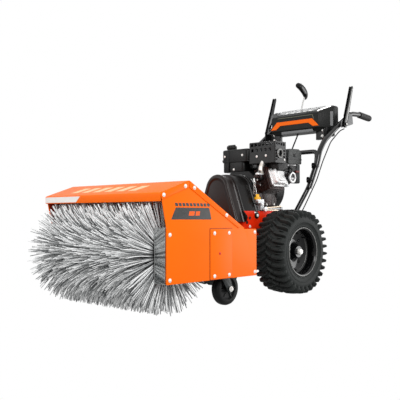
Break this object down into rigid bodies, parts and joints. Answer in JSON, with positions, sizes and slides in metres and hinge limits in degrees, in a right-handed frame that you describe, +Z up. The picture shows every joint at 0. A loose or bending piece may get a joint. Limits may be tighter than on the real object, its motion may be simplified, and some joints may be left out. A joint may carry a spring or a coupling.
{
  "type": "walk behind sweeper",
  "caption": "Walk-behind powered sweeper: petrol engine on a two-wheeled chassis with handlebars and console, driving a hooded rotary bristle brush that swivels in front.",
  "frame": {"origin": "on the ground under the middle of the machine's bounding box", "axes": "+Z up; -Y forward, towards the brush; +X towards the operator's left"},
  "size_m": [0.7604, 1.9092, 1.0955],
  "materials": {
    "orange_paint": "gloss",
    "red_paint": "satin",
    "black_paint": "satin",
    "grey_plate": "satin",
    "dark_steel": "satin",
    "cast_alloy": "satin",
    "engine_black": "satin",
    "black_plastic": "matte",
    "bright_steel": "polished",
    "bristle": "matte",
    "tyre": "matte",
    "rubber": "matte",
    "brush_tube": "satin"
  },
  "bodies": {
    "machine": {"chassis_frame": "red_paint", "chassis_bearings": "dark_steel", "swivel_bracket": "dark_steel", "chassis_fasteners": "bright_steel", "engine_plate": "grey_plate", "crankcase": "engine_black", "cylinder_head": "cast_alloy", "blower_housing": "engine_black", "fuel_tank": "black_plastic", "muffler": "dark_steel", "muffler_guard": "black_paint", "intake_box": "black_plastic", "carburettor": "cast_alloy", "control_panel": "black_plastic", "oil_filler": "cast_alloy", "belt_cover": "black_paint", "belts": "rubber", "lower_handle": "black_paint", "handlebars": "black_paint", "handle_grips": "rubber", "handle_brackets": "dark_steel", "console": "black_plastic", "console_trim": "orange_paint", "clutch_cables": "rubber"},
    "crank": {"crankshaft": "dark_steel", "engine_pulley": "dark_steel"},
    "drive_shaft": {"brush_drive_shaft": "dark_steel"},
    "drive_disc": {"traction_disc": "dark_steel"},
    "pinion": {"pinion_shaft": "dark_steel"},
    "drive_wheels": {"wheel_axle": "bright_steel", "left_rim": "black_paint", "right_rim": "black_paint", "left_tyre": "tyre", "right_tyre": "tyre"},
    "traction_lever": {"traction_lever": "black_paint"},
    "brush_lever": {"brush_lever": "black_paint"},
    "shift_lever": {"shift_lever": "dark_steel"},
    "shift_rod": {"shift_rod": "black_paint"},
    "fuel_cap": {"fuel_cap": "black_plastic"},
    "oil_cap": {"oil_cap": "black_plastic"},
    "choke_knob": {"choke_knob": "bright_steel"},
    "ignition_key": {"ignition_key": "black_plastic"},
    "recoil_handle": {"recoil_handle": "black_plastic"},
    "brush_head": {"brush_hood": "orange_paint", "left_side_plate": "orange_paint", "right_side_plate": "orange_paint", "side_access_covers": "orange_paint", "bristle_shields": "black_paint", "head_frame": "red_paint", "head_gearbox": "cast_alloy", "head_bolts": "bright_steel", "drive_chain": "dark_steel"},
    "input_shaft": {"head_input_shaft": "dark_steel"},
    "cross_shaft": {"brush_cross_shaft": "dark_steel"},
    "brush": {"brush_core": "brush_tube", "brush_bristles": "bristle"},
    "caster_fork_left": {"caster_fork_left": "dark_steel"},
    "caster_fork_right": {"caster_fork_right": "dark_steel"},
    "caster_wheel_left": {"caster_wheel_left": "rubber"},
    "caster_wheel_right": {"caster_wheel_right": "rubber"}
  },
  "joints": [
    {"name": "head_pivot", "type": "hinge", "parent": "machine", "child": "brush_head", "pos_m": [0, -0.187, 0.336], "axis": [0, 0, 1], "range_deg": [-20, 20]},
    {"name": "brush_spin", "type": "hinge", "parent": "brush_head", "child": "brush", "pos_m": [0, -0.731, 0.2245], "axis": [1, 0, 0], "continuous": true},
    {"name": "cross_shaft_spin", "type": "hinge", "parent": "brush_head", "child": "cross_shaft", "pos_m": [0, -0.328, 0.27], "axis": [1, 0, 0], "continuous": true},
    {"name": "input_shaft_spin", "type": "hinge", "parent": "brush_head", "child": "input_shaft", "pos_m": [0, -0.267, 0.27], "axis": [0, 1, 0], "continuous": true},
    {"name": "drive_shaft_spin", "type": "hinge", "parent": "machine", "child": "drive_shaft", "pos_m": [0, -0.117, 0.27], "axis": [0, 1, 0], "continuous": true},
    {"name": "left_caster_swivel", "type": "hinge", "parent": "brush_head", "child": "caster_fork_left", "pos_m": [0.275, -0.418, 0.16], "axis": [0, 0, 1], "continuous": true},
    {"name": "right_caster_swivel", "type": "hinge", "parent": "brush_head", "child": "caster_fork_right", "pos_m": [-0.275, -0.418, 0.16], "axis": [0, 0, 1], "continuous": true},
    {"name": "left_caster_roll", "type": "hinge", "parent": "caster_fork_left", "child": "caster_wheel_left", "pos_m": [0.275, -0.373, 0.07], "axis": [1, 0, 0], "continuous": true},
    {"name": "right_caster_roll", "type": "hinge", "parent": "caster_fork_right", "child": "caster_wheel_right", "pos_m": [-0.275, -0.373, 0.07], "axis": [1, 0, 0], "continuous": true},
    {"name": "crank_spin", "type": "hinge", "parent": "machine", "child": "crank", "pos_m": [0, 0.133, 0.51], "axis": [0, 1, 0], "continuous": true},
    {"name": "drive_disc_spin", "type": "hinge", "parent": "machine", "child": "drive_disc", "pos_m": [0, 0.005, 0.27], "axis": [0, 1, 0], "continuous": true},
    {"name": "wheel_spin", "type": "hinge", "parent": "machine", "child": "drive_wheels", "pos_m": [0, 0.133, 0.203], "axis": [1, 0, 0], "continuous": true},
    {"name": "pinion_spin", "type": "hinge", "parent": "machine", "child": "pinion", "pos_m": [0, 0.07278, 0.26988], "axis": [1, 0, 0], "continuous": true},
    {"name": "traction_lever_pivot", "type": "hinge", "parent": "machine", "child": "traction_lever", "pos_m": [0.262, 0.627, 0.871], "axis": [-1, 0, 0], "range_deg": [0, 45], "stiffness_Nm_per_rad": 1.5, "springref_deg": -5.73},
    {"name": "brush_lever_pivot", "type": "hinge", "parent": "machine", "child": "brush_lever", "pos_m": [-0.262, 0.627, 0.871], "axis": [-1, 0, 0], "range_deg": [0, 45], "stiffness_Nm_per_rad": 1.5, "springref_deg": -5.73},
    {"name": "shift_lever_pivot", "type": "hinge", "parent": "machine", "child": "shift_lever", "pos_m": [0, 0.573, 0.9], "axis": [1, 0, 0], "range_deg": [-10, 10]},
    {"name": "shift_rod_slide", "type": "slide", "parent": "machine", "child": "shift_rod", "axis": [0, 0.5482, 0.8363], "range_m": [-0.01, 0.01]},
    {"name": "fuel_cap_turn", "type": "hinge", "parent": "machine", "child": "fuel_cap", "pos_m": [-0.112, 0.123, 0.724], "axis": [0, 0, 1], "range_deg": [0, 90]},
    {"name": "oil_cap_turn", "type": "hinge", "parent": "machine", "child": "oil_cap", "pos_m": [0.127, 0.036, 0.45], "axis": [0, 0, 1], "range_deg": [0, 90]},
    {"name": "choke_turn", "type": "hinge", "parent": "machine", "child": "choke_knob", "pos_m": [0.17, 0.251, 0.563], "axis": [1, 0, 0], "range_deg": [0, 75]},
    {"name": "ignition_key_turn", "type": "hinge", "parent": "machine", "child": "ignition_key", "pos_m": [0.178, 0.298, 0.6], "axis": [1, 0, 0], "range_deg": [0, 60]},
    {"name": "recoil_pull", "type": "slide", "parent": "machine", "child": "recoil_handle", "axis": [0, 1, 0], "range_m": [0, 0.45], "stiffness_N_per_m": 12, "springref_m": -0.15}
  ],
  "couplings": [
    {"joint": "cross_shaft_spin", "follows": "brush_spin", "ratio": 1.5},
    {"joint": "input_shaft_spin", "follows": "brush_spin", "ratio": -3},
    {"joint": "drive_shaft_spin", "follows": "brush_spin", "ratio": -3},
    {"joint": "drive_disc_spin", "follows": "crank_spin", "ratio": 0.5},
    {"joint": "pinion_spin", "follows": "wheel_spin", "ratio": -4},
    {"joint": "shift_rod_slide", "follows": "shift_lever_pivot", "m_per_rad": 0.0514}
  ]
}
